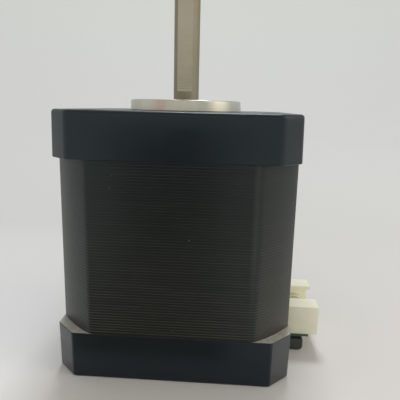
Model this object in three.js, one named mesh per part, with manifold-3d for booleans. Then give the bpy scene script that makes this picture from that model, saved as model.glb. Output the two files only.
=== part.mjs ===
// A 42 mm hybrid stepper motor with a 5 mm D-cut output shaft, in millimetres.
// The origin is the centre of the rear face, on the shaft axis, and +Z runs up the shaft.
// -Y is the front, and the connector looks out along +X.

import * as THREE from "three";
import { mergeVertices } from "three/addons/utils/BufferGeometryUtils.js";
import Module from "manifold-3d";

// ---- Driving dimensions ----

const BODY_WIDTH = 42.3; // across the flats of the end bells
const BODY_LENGTH = 47; // rear face to mounting face
const FRONT_BELL_HEIGHT = 8;
const REAR_BELL_HEIGHT = 8.5;
const BELL_CHAMFER = 3.7; // corner cut of the end bells, measured along a side
const BELL_DRAFT = 0.018; // how much a cast wall leans in, per unit of height
const BELL_WALL = 1.85;
const BELL_PLATE = 2.4; // thickness of each bell's end plate
const CORE_WIDTH = 42.1; // across the flats of the laminations
const CORE_CHAMFER = 6.7; // from a square corner to where the corner arc starts
const CORE_ARC = 25.48; // radius of the arc that cuts each corner
const BOSS_RADIUS = 11; // the pilot that centres the motor in its mount
const BOSS_HEIGHT = 2;
const BOSS_HOLE_RADIUS = 4.6;
const BOLT_SPACING = 31; // between the screws at the corners
const SHAFT_RADIUS = 2.5;
const SHAFT_REACH = 24; // shaft end above the mounting face
const FLAT_LENGTH = 20; // length of the D-cut
const FLAT_DISTANCE = 2; // from the shaft axis to the D-cut
const FLAT_TURN = THREE.MathUtils.degToRad(-3.4); // how the D-cut stands, away from -Y
const ROTOR_TEETH = 50;
const POLES = 8;
const POLE_TEETH = 6;
const ROTOR_RADIUS = 12.8;
const AIR_GAP = 0.1;
const BEARING_RADIUS = 8; // a 5 x 16 x 5 ball bearing
const BEARING_WIDTH = 5;
const BALLS = 7;
const PIN_PITCH = 2;
const PINS = 6;
const TOUCH = 0.1; // the gap left between pieces that touch

// ---- Heights along the axis, from the rear face ----

const CORE_LOW = REAR_BELL_HEIGHT;
const CORE_HIGH = BODY_LENGTH - FRONT_BELL_HEIGHT;
const CORE_LENGTH = CORE_HIGH - CORE_LOW;
const CORE_MIDDLE = (CORE_LOW + CORE_HIGH) / 2;
const BOSS_TOP = BODY_LENGTH + BOSS_HEIGHT;
const SHAFT_TOP = BODY_LENGTH + SHAFT_REACH;
const SHAFT_LOW = 2.9;
const REAR_BEARING_LOW = 3;
const FRONT_BEARING_LOW = 42.2;
const PLATE_UNDERSIDE = BODY_LENGTH - BELL_PLATE;

const wasm = await Module();
wasm.setup();

// ---- Shapes ----

// A three.js geometry as a manifold-3d solid.
function solidOf(geometry) {
  const bare = geometry.clone();
  bare.deleteAttribute("normal");
  bare.deleteAttribute("uv");
  const merged = mergeVertices(bare, 1e-5);
  return new wasm.Manifold(
    new wasm.Mesh({
      numProp: 3,
      vertProperties: merged.attributes.position.array,
      triVerts: new Uint32Array(merged.index.array),
    }),
  );
}

// A manifold-3d solid as a flat-shaded three.js geometry.
function geometryOf(solid) {
  const mesh = solid.getMesh();
  const positions = new Float32Array(mesh.numVert * 3);
  for (let i = 0; i < mesh.numVert; i++) {
    const start = i * mesh.numProp;
    positions.set(mesh.vertProperties.subarray(start, start + 3), i * 3);
  }
  const geometry = new THREE.BufferGeometry();
  geometry.setAttribute("position", new THREE.BufferAttribute(positions, 3));
  geometry.setIndex(new THREE.BufferAttribute(new Uint32Array(mesh.triVerts), 1));
  const flat = geometry.toNonIndexed();
  flat.computeVertexNormals();
  return flat;
}

function join(first, ...others) {
  return others.reduce((sum, geometry) => sum.add(solidOf(geometry)), solidOf(first));
}

// The base and everything in `added` joined, less everything in `removed`.
function carve(base, added, removed) {
  let solid = join(base, ...added);
  for (const geometry of removed) solid = solid.subtract(solidOf(geometry));
  return geometryOf(solid);
}

// A flat outline raised between two heights. A full circle in it gets `sides` sides.
function prism(outline, low, high, sides = 24) {
  const settings = { depth: high - low, bevelEnabled: false, curveSegments: sides / 2 };
  return new THREE.ExtrudeGeometry(outline, settings).translate(0, 0, low);
}

function disc(radius, low, high, sides = 24) {
  return prism(new THREE.Shape().absarc(0, 0, radius, 0, 2 * Math.PI), low, high, sides);
}

function ring(outer, inner, low, high, sides = 24) {
  const outline = new THREE.Shape().absarc(0, 0, outer, 0, 2 * Math.PI);
  outline.holes.push(new THREE.Path().absarc(0, 0, inner, 0, 2 * Math.PI));
  return prism(outline, low, high, sides);
}

function block(x, y, z) {
  const size = [x[1] - x[0], y[1] - y[0], z[1] - z[0]];
  const middle = [(x[0] + x[1]) / 2, (y[0] + y[1]) / 2, (z[0] + z[1]) / 2];
  return new THREE.BoxGeometry(...size).translate(...middle);
}

// A profile of [radius, height] points, turned about the axis. It runs up the outside.
function turned(profile, sides = 24) {
  const points = profile.map(([radius, height]) => new THREE.Vector2(radius, height));
  return new THREE.LatheGeometry(points, sides).rotateX(Math.PI / 2);
}

function polar(radius, angle) {
  return new THREE.Vector2(radius * Math.cos(angle), radius * Math.sin(angle));
}

// A square with its corners cut.
function cutSquare(width, chamfer) {
  const half = width / 2;
  const corners = [];
  for (let turn = 0; turn < 4; turn++) {
    for (const side of [-1, 1]) {
      const corner = new THREE.Vector2(half, side * (half - chamfer));
      corners.push(corner.rotateAround(new THREE.Vector2(), (turn * Math.PI) / 2));
    }
  }
  return new THREE.Shape(corners);
}

// Leans the walls of a shape in as they go from height `wide` to height `narrow`.
function lean(geometry, width, wide, narrow) {
  const places = geometry.attributes.position;
  for (let i = 0; i < places.count; i++) {
    const share = (places.getZ(i) - wide) / (narrow - wide);
    const inward = BELL_DRAFT * Math.abs(narrow - wide) * share;
    const factor = 1 - inward / (width / 2);
    places.setXY(i, places.getX(i) * factor, places.getY(i) * factor);
  }
  return geometry;
}

// The same geometry at each of the four corner screws.
function atCorners(make) {
  const half = BOLT_SPACING / 2;
  const places = [[half, half], [-half, half], [-half, -half], [half, -half]];
  return places.map(([x, y]) => make().translate(x, y, 0));
}

// ---- Materials ----

const finish = (color, roughness, metalness) =>
  new THREE.MeshStandardMaterial({ color, roughness, metalness });

const BLACK_PAINT = finish(0x23272b, 0.55, 0.1);
const BLACK_CORE = finish(0x1d2022, 0.5, 0.3);
const GROUND_STEEL = finish(0x9c9686, 0.3, 1);
const BEARING_STEEL = finish(0xb9bcc0, 0.25, 1);
const BALL_STEEL = finish(0xd2d5d8, 0.15, 1);
const SPRING_STEEL = finish(0x8d8f90, 0.35, 1);
const SCREW_STEEL = finish(0xa9abac, 0.35, 1);
const CAGE_NYLON = finish(0x4a3a2a, 0.6, 0);
const ROTOR_STEEL = finish(0x77797c, 0.45, 1);
const MAGNET = finish(0x5c5d60, 0.4, 1);
const SOCKET_NYLON = finish(0xdcd8b8, 0.5, 0);
const INSULATOR_NYLON = finish(0xe6e4dc, 0.5, 0);
const COPPER = finish(0xa9552b, 0.3, 1);
const BOARD = finish(0x2c4a24, 0.4, 0);
const PAD_RUBBER = finish(0x1c2024, 0.6, 0);
const PIN_TIN = finish(0xc9c08a, 0.25, 1);

function piece(name, geometry, material) {
  const mesh = new THREE.Mesh(geometry, material);
  mesh.name = name;
  return mesh;
}

// ---- End bells ----

const SCREW_HOLE_RADIUS = 1.65;
const POST_RADIUS = 3.9;
const HUB_RADIUS = 10.2;
const BEARING_SEAT_RADIUS = BEARING_RADIUS + 0.12;
const INNER_WIDTH = BODY_WIDTH - 2 * BELL_WALL;

function frontBell() {
  const shell = prism(cutSquare(BODY_WIDTH, BELL_CHAMFER), CORE_HIGH, BODY_LENGTH);
  const hollow = prism(cutSquare(INNER_WIDTH, BELL_CHAMFER), CORE_HIGH - 1, PLATE_UNDERSIDE);
  const cup = carve(lean(shell, BODY_WIDTH, CORE_HIGH, BODY_LENGTH), [], [hollow]);
  const bossEdge = 0.35;
  const boss = turned(
    [
      [0, PLATE_UNDERSIDE],
      [BOSS_RADIUS, PLATE_UNDERSIDE],
      [BOSS_RADIUS, BOSS_TOP - bossEdge],
      [BOSS_RADIUS - bossEdge, BOSS_TOP],
      [0, BOSS_TOP],
    ],
    32,
  );
  const hub = disc(HUB_RADIUS, FRONT_BEARING_LOW - 0.3, PLATE_UNDERSIDE, 20);
  const posts = atCorners(() => disc(POST_RADIUS, CORE_HIGH, PLATE_UNDERSIDE + 1, 12));
  const seatTop = FRONT_BEARING_LOW + BEARING_WIDTH + TOUCH;
  const seat = disc(BEARING_SEAT_RADIUS, CORE_HIGH, seatTop);
  const shaftHole = disc(BOSS_HOLE_RADIUS, CORE_HIGH, BOSS_TOP + 1, 20);
  const threads = atCorners(() => disc(SCREW_HOLE_RADIUS, CORE_HIGH - 1, BODY_LENGTH + 1, 12));
  return carve(cup, [boss, hub, ...posts], [seat, shaftHole, ...threads]);
}

// The connector's place on the rear bell.
const SOCKET_MIDDLE = -0.3;
const SOCKET_HALF = 7.45;
const SHELF_REACH = 25.2; // how far the cast shelf under the connector stands out from the axis
const SHELF_LOW = 0.05;
const SHELF_HIGH = 2.4;
const SHELF_ROUND = 0.9;
const PAD = [SHELF_HIGH + 0.05, 2.95]; // lower and upper face of the pad on the shelf
const BOARD_PLATE = [3, 3.5];
const SOCKET_BODY = [3.55, 9.3];

const acrossSocket = (margin) => [
  SOCKET_MIDDLE - SOCKET_HALF - margin,
  SOCKET_MIDDLE + SOCKET_HALF + margin,
];

function shelf() {
  const round = SHELF_REACH - SHELF_ROUND;
  const bevel = 0.15;
  const outline = new THREE.Shape()
    .moveTo(BODY_WIDTH / 2 - BELL_WALL, SHELF_LOW)
    .lineTo(round, SHELF_LOW)
    .absarc(round, SHELF_LOW + SHELF_ROUND, SHELF_ROUND, -Math.PI / 2, 0)
    .lineTo(SHELF_REACH, SHELF_HIGH - bevel)
    .lineTo(SHELF_REACH - bevel, SHELF_HIGH)
    .lineTo(BODY_WIDTH / 2 - BELL_WALL, SHELF_HIGH);
  // The outline stands upright, and its thickness runs along Y.
  const half = SOCKET_HALF + 0.2;
  return prism(outline, -half, half, 8)
    .rotateX(Math.PI / 2)
    .translate(0, SOCKET_MIDDLE, 0);
}

const HEAD_POCKET_RADIUS = 3;
const HEAD_POCKET_DEPTH = 2.6;

function rearBell() {
  const shell = prism(cutSquare(BODY_WIDTH, BELL_CHAMFER), 0, REAR_BELL_HEIGHT);
  const floor = REAR_BEARING_LOW - 0.8;
  const hollow = prism(cutSquare(INNER_WIDTH, BELL_CHAMFER), floor, REAR_BELL_HEIGHT + 1);
  const cup = carve(lean(shell, BODY_WIDTH, REAR_BELL_HEIGHT, 0), [], [hollow]);
  const hub = disc(HUB_RADIUS, floor - 1, REAR_BEARING_LOW + BEARING_WIDTH, 20);
  const posts = atCorners(() => disc(POST_RADIUS, floor - 1, REAR_BELL_HEIGHT, 12));
  const seat = disc(BEARING_SEAT_RADIUS, floor, REAR_BELL_HEIGHT + 1);
  const holes = atCorners(() => disc(SCREW_HOLE_RADIUS, -1, REAR_BELL_HEIGHT + 1, 12));
  const pockets = atCorners(() => disc(HEAD_POCKET_RADIUS, -1, HEAD_POCKET_DEPTH, 16));
  const window = block(
    [INNER_WIDTH / 2 - 1, SHELF_REACH + 1],
    acrossSocket(0.15),
    [SHELF_HIGH, REAR_BELL_HEIGHT + 1],
  );
  return carve(cup, [hub, ...posts, shelf()], [seat, window, ...holes, ...pockets]);
}

// ---- Stator ----

const POLE_HALF = 2; // half the width of a pole's neck
const SLOT_RADIUS = 17.6;
const SHOE_RADIUS = 14.5; // outside of a pole's toothed shoe
const BORE_RADIUS = ROTOR_RADIUS + AIR_GAP;
const TOOTH_DEPTH = 0.7;
const TOOTH_PITCH = (2 * Math.PI) / ROTOR_TEETH;

// The bore, with a neck, a shoe and its teeth for each pole.
function boreOutline() {
  const points = [];
  const edge = ((POLE_TEETH - 1) / 2) * TOOTH_PITCH + TOOTH_PITCH / 4;
  const neckAngle = Math.asin(POLE_HALF / SHOE_RADIUS);
  const rootAngle = Math.asin(POLE_HALF / SLOT_RADIUS);
  for (let pole = 0; pole < POLES; pole++) {
    const middle = (pole * 2 * Math.PI) / POLES;
    const teeth = [];
    for (let tooth = 0; tooth < POLE_TEETH; tooth++) {
      const centre = middle + (tooth - (POLE_TEETH - 1) / 2) * TOOTH_PITCH;
      const [start, end] = [centre - TOOTH_PITCH / 4, centre + TOOTH_PITCH / 4];
      if (tooth > 0) teeth.push(polar(BORE_RADIUS + TOOTH_DEPTH, start));
      teeth.push(polar(BORE_RADIUS, start), polar(BORE_RADIUS, end));
      if (tooth < POLE_TEETH - 1) teeth.push(polar(BORE_RADIUS + TOOTH_DEPTH, end));
    }
    points.push(
      polar(SLOT_RADIUS, middle - rootAngle),
      polar(SHOE_RADIUS, middle - neckAngle),
      polar(SHOE_RADIUS, middle - edge),
      ...teeth,
      polar(SHOE_RADIUS, middle + edge),
      polar(SHOE_RADIUS, middle + neckAngle),
      polar(SLOT_RADIUS, middle + rootAngle),
      polar(SLOT_RADIUS, middle + Math.PI / POLES),
    );
  }
  return new THREE.Path(points);
}

// The outside of a lamination: a square whose corners are cut to an arc.
function coreOutline(steps = 4) {
  const half = CORE_WIDTH / 2;
  const halfChord = CORE_CHAMFER / Math.SQRT2;
  const middle = half - CORE_CHAMFER / 2;
  const centre = middle - Math.sqrt((CORE_ARC ** 2 - halfChord ** 2) / 2);
  const start = Math.acos((half - centre) / CORE_ARC);
  const points = [];
  for (let turn = 0; turn < 4; turn++) {
    for (let step = 0; step <= steps; step++) {
      const angle = start + (step / steps) * (Math.PI / 2 - 2 * start);
      const x = centre + CORE_ARC * Math.cos(angle);
      const y = centre + CORE_ARC * Math.sin(angle);
      const point = new THREE.Vector2(x, y);
      points.push(point.rotateAround(new THREE.Vector2(), (turn * Math.PI) / 2));
    }
  }
  return new THREE.Shape(points);
}

function statorCore() {
  const outline = coreOutline();
  outline.holes.push(boreOutline());
  const holes = atCorners(() => disc(SCREW_HOLE_RADIUS, CORE_LOW - 1, CORE_HIGH + 1, 12));
  return carve(prism(outline, CORE_LOW, CORE_HIGH), [], holes);
}

const LINER = 0.3; // thickness of the slot liners
const RIM_OUTER = 17.7;
const RIM_INNER = 17.1;
const RIM_HEIGHT = 4;
const CAP_THICKNESS = 0.5;
const NECK_GAP = 0.06;

// One half of the coil former, standing on the core's front end: a rim, and for each pole
// an end cap, an inner lip that holds the winding, and two liners that reach into the slots.
function insulatorHalf() {
  const low = CORE_HIGH + 0.05;
  const cap = low + CAP_THICKNESS;
  const linerLow = CORE_MIDDLE + 0.2;
  const linerNear = POLE_HALF + NECK_GAP;
  const linerFar = linerNear + LINER;
  const lipLow = SHOE_RADIUS - 0.6;
  const neckLow = SHOE_RADIUS + 0.3;
  const parts = [];
  for (let pole = 0; pole < POLES; pole++) {
    const turn = (pole * 2 * Math.PI) / POLES;
    const made = [
      block([lipLow, RIM_INNER + 0.3], [-linerFar, linerFar], [low, cap]),
      block([lipLow, SHOE_RADIUS], [-4.2, 4.2], [low, low + RIM_HEIGHT - 0.5]),
      block([neckLow, RIM_INNER + 0.2], [linerNear, linerFar], [linerLow, cap]),
      block([neckLow, RIM_INNER + 0.2], [-linerFar, -linerNear], [linerLow, cap]),
    ];
    parts.push(...made.map((part) => part.rotateZ(turn)));
  }
  return carve(ring(RIM_OUTER, RIM_INNER, low, low + RIM_HEIGHT), parts, []);
}

// The rear half is the front half turned end for end about the core's middle.
function turnedOver(mesh) {
  mesh.rotation.x = Math.PI;
  mesh.position.z = 2 * CORE_MIDDLE;
  return mesh;
}

const COIL_INNER_HALF = POLE_HALF + NECK_GAP + LINER + 0.09;
const COIL_BUILD = 2.3; // thickness of the winding
const COIL_NEAR = 14.75;
const COIL_FAR = 16.2;

// A winding: a tall rounded frame round a pole's neck, standing at the pole's angle.
function coil() {
  const rounded = (path, halfWidth, halfHeight, radius) =>
    path
      .moveTo(halfWidth, halfHeight - radius)
      .absarc(halfWidth - radius, halfHeight - radius, radius, 0, Math.PI / 2)
      .absarc(radius - halfWidth, halfHeight - radius, radius, Math.PI / 2, Math.PI)
      .absarc(radius - halfWidth, radius - halfHeight, radius, Math.PI, 1.5 * Math.PI)
      .absarc(halfWidth - radius, radius - halfHeight, radius, 1.5 * Math.PI, 2 * Math.PI);
  const insideHeight = CORE_LENGTH / 2 + CAP_THICKNESS + 0.15;
  const outside = [COIL_INNER_HALF + COIL_BUILD, insideHeight + COIL_BUILD];
  const outline = rounded(new THREE.Shape(), ...outside, 2.4);
  outline.holes.push(rounded(new THREE.Path(), COIL_INNER_HALF, insideHeight, 0.3));
  // Across the pole, then up the axis, with the thickness along the pole.
  return prism(outline, COIL_NEAR, COIL_FAR, 4)
    .rotateZ(-Math.PI / 2)
    .rotateY(Math.PI / 2)
    .rotateX(Math.PI)
    .translate(0, 0, CORE_MIDDLE);
}

// ---- Connector ----

const SOCKET_MOUTH = 27.9;
const SOCKET_BACK = 19.7;
const SOCKET_WALL = 0.8;
const NOTCH_HALF = 3.3; // half the width of the notch in the connector's top wall
const PIN_HALF = 0.3;
const PIN_HEIGHT = 6.5;
const PIN_TIP = 26;
const PIN_LEG = 18.6;
const PIN_FOOT = 2.5;
const PIN_GAP = 0.08;

const pinPlace = (index) => SOCKET_MIDDLE + (index - (PINS - 1) / 2) * PIN_PITCH;

function socket() {
  const [low, high] = SOCKET_BODY;
  const outside = CORE_WIDTH / 2 + 0.2;
  const back = outside + 0.75;
  const body = block([outside, SOCKET_MOUTH], acrossSocket(0), [low, high]);
  const tail = block([SOCKET_BACK, outside + 0.5], acrossSocket(0), [low, CORE_LOW - 0.2]);
  const cavity = block(
    [back, SOCKET_MOUTH + 1],
    acrossSocket(-SOCKET_WALL),
    [low + SOCKET_WALL, high - SOCKET_WALL],
  );
  const notchAcross = [SOCKET_MIDDLE - NOTCH_HALF, SOCKET_MIDDLE + NOTCH_HALF];
  const notch = block([back, SOCKET_MOUTH + 1], notchAcross, [7, high + 1]);
  const reach = PIN_HALF + PIN_GAP;
  const pinHoles = [];
  for (let index = 0; index < PINS; index++) {
    const y = pinPlace(index);
    const hole = [[SOCKET_BACK - 1, back + 1], [y - reach, y + reach]];
    pinHoles.push(block(...hole, [PIN_HEIGHT - reach, PIN_HEIGHT + reach]));
  }
  return carve(body, [tail], [cavity, notch, ...pinHoles]);
}

// A contact pin, bent down at its inner end and through the board.
function contactPin(index) {
  const outline = new THREE.Shape([
    new THREE.Vector2(PIN_LEG - PIN_HALF, PIN_FOOT),
    new THREE.Vector2(PIN_LEG + PIN_HALF, PIN_FOOT),
    new THREE.Vector2(PIN_LEG + PIN_HALF, PIN_HEIGHT - PIN_HALF),
    new THREE.Vector2(PIN_TIP, PIN_HEIGHT - PIN_HALF),
    new THREE.Vector2(PIN_TIP, PIN_HEIGHT + PIN_HALF),
    new THREE.Vector2(PIN_LEG - PIN_HALF, PIN_HEIGHT + PIN_HALF),
  ]);
  return prism(outline, -PIN_HALF, PIN_HALF)
    .rotateX(Math.PI / 2)
    .translate(0, pinPlace(index), 0);
}

// The board that joins the windings to the pins: a ring round the bearing hub, with a tongue
// that the connector stands on.
function terminalBoard() {
  const [low, high] = BOARD_PLATE;
  const plate = ring(RIM_OUTER - 0.1, HUB_RADIUS + 0.4, low, high, 24);
  const tongue = block([15, SHELF_REACH + 1], acrossSocket(-0.05), [low, high]);
  const reach = PIN_HALF + PIN_GAP;
  const holes = [];
  for (let index = 0; index < PINS; index++) {
    const y = pinPlace(index);
    const hole = [[PIN_LEG - reach, PIN_LEG + reach], [y - reach, y + reach]];
    holes.push(block(...hole, [low - 1, high + 1]));
  }
  return carve(plate, [tongue], holes);
}

// The pad between the board's tongue and the cast shelf.
function boardPad() {
  return block([INNER_WIDTH / 2 - 0.1, SHELF_REACH], acrossSocket(0.05), PAD);
}

// ---- Screws ----

// A pan-head machine screw, put in from the rear and threaded into the front bell.
function screw() {
  const [head, under, shank, tip] = [2.7, 2.5, 1.45, 42.4];
  const body = turned(
    [
      [0, 0.5],
      [2, 0.5],
      [head, 1.2],
      [head, under],
      [shank, under],
      [shank, tip - 0.4],
      [shank - 0.4, tip],
        [0, tip],
    ],
    12,
  );
  const arm = [-1.5, 1.5];
  const slot = [-0.28, 0.28];
  const depth = [0, 1.5];
  return carve(body, [], [block(arm, slot, depth), block(slot, arm, depth)]);
}

// ---- Rotor ----

function shaft() {
  const chamfer = 0.4;
  const bar = turned(
    [
      [0, SHAFT_LOW],
      [SHAFT_RADIUS - chamfer, SHAFT_LOW],
      [SHAFT_RADIUS, SHAFT_LOW + chamfer],
      [SHAFT_RADIUS, SHAFT_TOP - chamfer],
      [SHAFT_RADIUS - chamfer, SHAFT_TOP],
      [0, SHAFT_TOP],
    ],
    24,
  );
  const above = [SHAFT_TOP - FLAT_LENGTH, SHAFT_TOP + 1];
  return carve(bar, [], [block([-5, 5], [-5, -FLAT_DISTANCE], above)]);
}

// A toothed rotor cup. `shift` turns its teeth, in tooth pitches.
function rotorCup(low, high, shift) {
  const points = [];
  for (let tooth = 0; tooth < ROTOR_TEETH; tooth++) {
    const centre = (tooth + shift) * TOOTH_PITCH;
    const [start, end] = [centre - TOOTH_PITCH / 4, centre + TOOTH_PITCH / 4];
    points.push(polar(ROTOR_RADIUS, start), polar(ROTOR_RADIUS, end));
    points.push(polar(ROTOR_RADIUS - TOOTH_DEPTH, end));
    points.push(polar(ROTOR_RADIUS - TOOTH_DEPTH, end + TOOTH_PITCH / 2));
  }
  const outline = new THREE.Shape(points);
  outline.holes.push(new THREE.Path().absarc(0, 0, SHAFT_RADIUS + 0.08, 0, 2 * Math.PI));
  return prism(outline, low, high);
}

const MAGNET_THICKNESS = 1.7;
const MAGNET_LOW = CORE_MIDDLE - MAGNET_THICKNESS / 2;
const MAGNET_HIGH = CORE_MIDDLE + MAGNET_THICKNESS / 2;
const CUP_LENGTH = 13.9;

// ---- Bearings ----

const BALL_RADIUS = 1.4;
const BALL_PITCH_RADIUS = 5.25;
const GROOVE_RADIUS = 1.55;
const INNER_LAND = 4.2;
const OUTER_LAND = 6.3;
const BORE_GAP = 0.07;

// Half a ball groove, as [radius, height] points from its lower edge to its upper edge.
function groove(land, side) {
  const reach = Math.acos(Math.abs(land - BALL_PITCH_RADIUS) / GROOVE_RADIUS);
  const steps = 3;
  const points = [];
  for (let i = 0; i <= steps; i++) {
    const angle = -reach + (2 * reach * i) / steps;
    const radius = BALL_PITCH_RADIUS + side * GROOVE_RADIUS * Math.cos(angle);
    points.push([radius, BEARING_WIDTH / 2 + GROOVE_RADIUS * Math.sin(angle)]);
  }
  return points;
}

function innerRing() {
  const bore = SHAFT_RADIUS + BORE_GAP;
  return turned(
    [
      [bore, 0],
      [INNER_LAND, 0],
      ...groove(INNER_LAND, -1),
      [INNER_LAND, BEARING_WIDTH],
      [bore, BEARING_WIDTH],
      [bore, 0],
    ],
    20,
  );
}

function outerRing() {
  return turned(
    [
      [OUTER_LAND, 0],
      [BEARING_RADIUS, 0],
      [BEARING_RADIUS, BEARING_WIDTH],
      [OUTER_LAND, BEARING_WIDTH],
      ...groove(OUTER_LAND, 1).reverse(),
      [OUTER_LAND, 0],
    ],
    24,
  );
}

function shield(low) {
  return ring(OUTER_LAND - 0.1, INNER_LAND + 0.15, low, low + 0.3, 16);
}

const ballAngle = (index) => (index * 2 * Math.PI) / BALLS;

function ball(index, radius = BALL_RADIUS) {
  const place = polar(BALL_PITCH_RADIUS, ballAngle(index));
  return new THREE.SphereGeometry(radius, 8, 6).translate(place.x, place.y, BEARING_WIDTH / 2);
}

// A crown cage: a ring above the balls, with a pocket over each.
function cage() {
  const middle = BEARING_WIDTH / 2;
  const heights = [middle + 0.7, middle + 1.95];
  const crown = ring(BALL_PITCH_RADIUS + 0.5, BALL_PITCH_RADIUS - 0.5, ...heights, 20);
  const pockets = [];
  for (let index = 0; index < BALLS; index++) pockets.push(ball(index, BALL_RADIUS + 0.18));
  return carve(crown, [], pockets);
}

function bearing(prefix, low) {
  const group = new THREE.Group();
  group.position.z = low;
  group.add(piece(`${prefix}_outer_ring`, outerRing(), BEARING_STEEL));
  group.add(piece(`${prefix}_inner_ring`, innerRing(), BEARING_STEEL));
  group.add(piece(`${prefix}_upper_shield`, shield(BEARING_WIDTH - 0.4), BEARING_STEEL));
  group.add(piece(`${prefix}_lower_shield`, shield(0.1), BEARING_STEEL));
  group.add(piece(`${prefix}_cage`, cage(), CAGE_NYLON));
  for (let index = 0; index < BALLS; index++) {
    group.add(piece(`${prefix}_ball_${index + 1}`, ball(index), BALL_STEEL));
  }
  return group;
}

// A wave spring that presses the rear bearing forward.
function waveWasher() {
  const waves = 3;
  const rise = 0.18;
  const washer = ring(7.6, 5.8, 2.46, 2.74);
  const places = washer.attributes.position;
  for (let i = 0; i < places.count; i++) {
    const angle = Math.atan2(places.getY(i), places.getX(i));
    places.setZ(i, places.getZ(i) + rise * Math.cos(waves * angle));
  }
  return washer;
}

// ---- The motor ----

const motor = new THREE.Group();

const housing = new THREE.Group();
housing.add(piece("front_bell", frontBell(), BLACK_PAINT));
housing.add(piece("rear_bell", rearBell(), BLACK_PAINT));
housing.add(piece("stator_core", statorCore(), BLACK_CORE));
housing.add(piece("front_insulator", insulatorHalf(), INSULATOR_NYLON));
housing.add(turnedOver(piece("rear_insulator", insulatorHalf(), INSULATOR_NYLON)));
housing.add(piece("wave_washer", waveWasher(), SPRING_STEEL));
for (let pole = 0; pole < POLES; pole++) {
  const winding = piece(`coil_${pole + 1}`, coil(), COPPER);
  winding.rotation.z = (pole * 2 * Math.PI) / POLES;
  housing.add(winding);
}
atCorners(screw).forEach((geometry, index) => {
  housing.add(piece(`screw_${index + 1}`, geometry, SCREW_STEEL));
});
motor.add(housing);

const connector = new THREE.Group();
connector.add(piece("connector_housing", socket(), SOCKET_NYLON));
connector.add(piece("terminal_board", terminalBoard(), BOARD));
connector.add(piece("board_pad", boardPad(), PAD_RUBBER));
for (let index = 0; index < PINS; index++) {
  connector.add(piece(`contact_pin_${index + 1}`, contactPin(index), PIN_TIN));
}
motor.add(connector);

const output = piece("shaft", shaft(), GROUND_STEEL);
output.rotation.z = FLAT_TURN;
const rotor = new THREE.Group();
rotor.add(output);
const rearCup = [MAGNET_LOW - TOUCH - CUP_LENGTH, MAGNET_LOW - TOUCH];
const frontCup = [MAGNET_HIGH + TOUCH, MAGNET_HIGH + TOUCH + CUP_LENGTH];
rotor.add(piece("rotor_cup_rear", rotorCup(...rearCup, 0.5), ROTOR_STEEL));
rotor.add(piece("rotor_cup_front", rotorCup(...frontCup, 0), ROTOR_STEEL));
rotor.add(piece("rotor_magnet", ring(11.2, 3.2, MAGNET_LOW, MAGNET_HIGH), MAGNET));
const spacerHeights = [frontCup[1] + TOUCH, FRONT_BEARING_LOW - TOUCH];
const frontSpacer = ring(3.7, SHAFT_RADIUS + 0.1, ...spacerHeights, 16);
rotor.add(piece("front_spacer", frontSpacer, SPRING_STEEL));
motor.add(rotor);

motor.add(bearing("front_bearing", FRONT_BEARING_LOW));
motor.add(bearing("rear_bearing", REAR_BEARING_LOW));

export default motor;
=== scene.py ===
import math
import random

import bmesh
import bpy
from mathutils import Matrix, Vector


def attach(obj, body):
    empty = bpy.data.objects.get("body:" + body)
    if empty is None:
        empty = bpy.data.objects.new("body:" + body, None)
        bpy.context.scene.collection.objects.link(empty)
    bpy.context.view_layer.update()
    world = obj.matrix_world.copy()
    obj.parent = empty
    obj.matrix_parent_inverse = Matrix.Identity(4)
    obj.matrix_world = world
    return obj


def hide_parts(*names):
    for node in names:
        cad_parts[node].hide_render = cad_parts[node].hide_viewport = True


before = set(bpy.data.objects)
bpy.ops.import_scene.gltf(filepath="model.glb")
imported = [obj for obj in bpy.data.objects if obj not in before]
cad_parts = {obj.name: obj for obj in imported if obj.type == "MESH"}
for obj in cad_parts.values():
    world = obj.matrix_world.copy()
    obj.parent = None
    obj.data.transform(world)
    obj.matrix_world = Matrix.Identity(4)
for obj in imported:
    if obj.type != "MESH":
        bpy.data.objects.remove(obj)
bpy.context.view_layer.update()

# The looks of a 42 mm stepper motor with a D-cut shaft, built round its CAD frame.
# Shapes are worked out in millimetres, and each piece is scaled to metres at the end.
# +Z runs up the shaft, -Y is the front, and the connector looks out along +X.

MM = 0.001

# ---- Sizes, in millimetres ----

BODY_HALF = 21.15
CORE_HALF = 21.05
CORE_LOW = 8.5
CORE_HIGH = 39
FACE = 47
BELL_CHAMFER = 3.7
BELL_DRAFT = 0.018
FRONT_EDGE = 1.7  # rounding of a bell's upright edges
REAR_EDGE = 1.0
FRONT_LIP = 0.6  # rounding round a bell's outer face
REAR_LIP = 0.35
BELL_WALL = 1.85
FRONT_INSIDE = 44.6  # the inner side of the front bell's face
REAR_INSIDE = 2.2  # the inner side of the rear bell's face
CORE_CHAMFER = 6.7
CORE_ARC = 25.48  # radius of the arc that cuts each corner of the core
SHEET = 0.5  # thickness of a lamination
SHEET_GAP = 0.04  # depth of the line between two laminations
BOLT = 15.5  # from the axis to a screw, along X and along Y
SCREW_HOLE = 1.65  # radius of the clearance holes
POST_RADIUS = 3.9  # the posts inside a bell that the screws run through
HUB_RADIUS = 10.2  # the wall round a bearing's seat
BOSS_RADIUS = 11
BOSS_TOP = 49
BOSS_HOLE = 4.6
SEAT_RADIUS = 8.12
SHAFT_RADIUS = 2.5
SHAFT_LOW = 2.9
SHAFT_TOP = 71
FLAT_LOW = 50.9  # 0.1 below the CAD's flat
FLAT_DISTANCE = 2  # from the axis to the flat
FLAT_TURN = math.radians(-3.4)
RUN_OUT = 0.2  # height of the slope under the flat, which the CAD lacks; its lighter metal is a painted highlight
FRONT_BEARING = 42.2  # a bearing's lower face
REAR_BEARING = 3.0
BEARING_WIDTH = 5
BALL_CIRCLE = 5.25  # from the axis to the balls
GROOVE = 1.55  # radius of the groove that the balls run in
SOCKET_MIDDLE = -0.3
SOCKET_HALF = 7.45
SOCKET_LOW = 3.55
SOCKET_HIGH = 9.3
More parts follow.
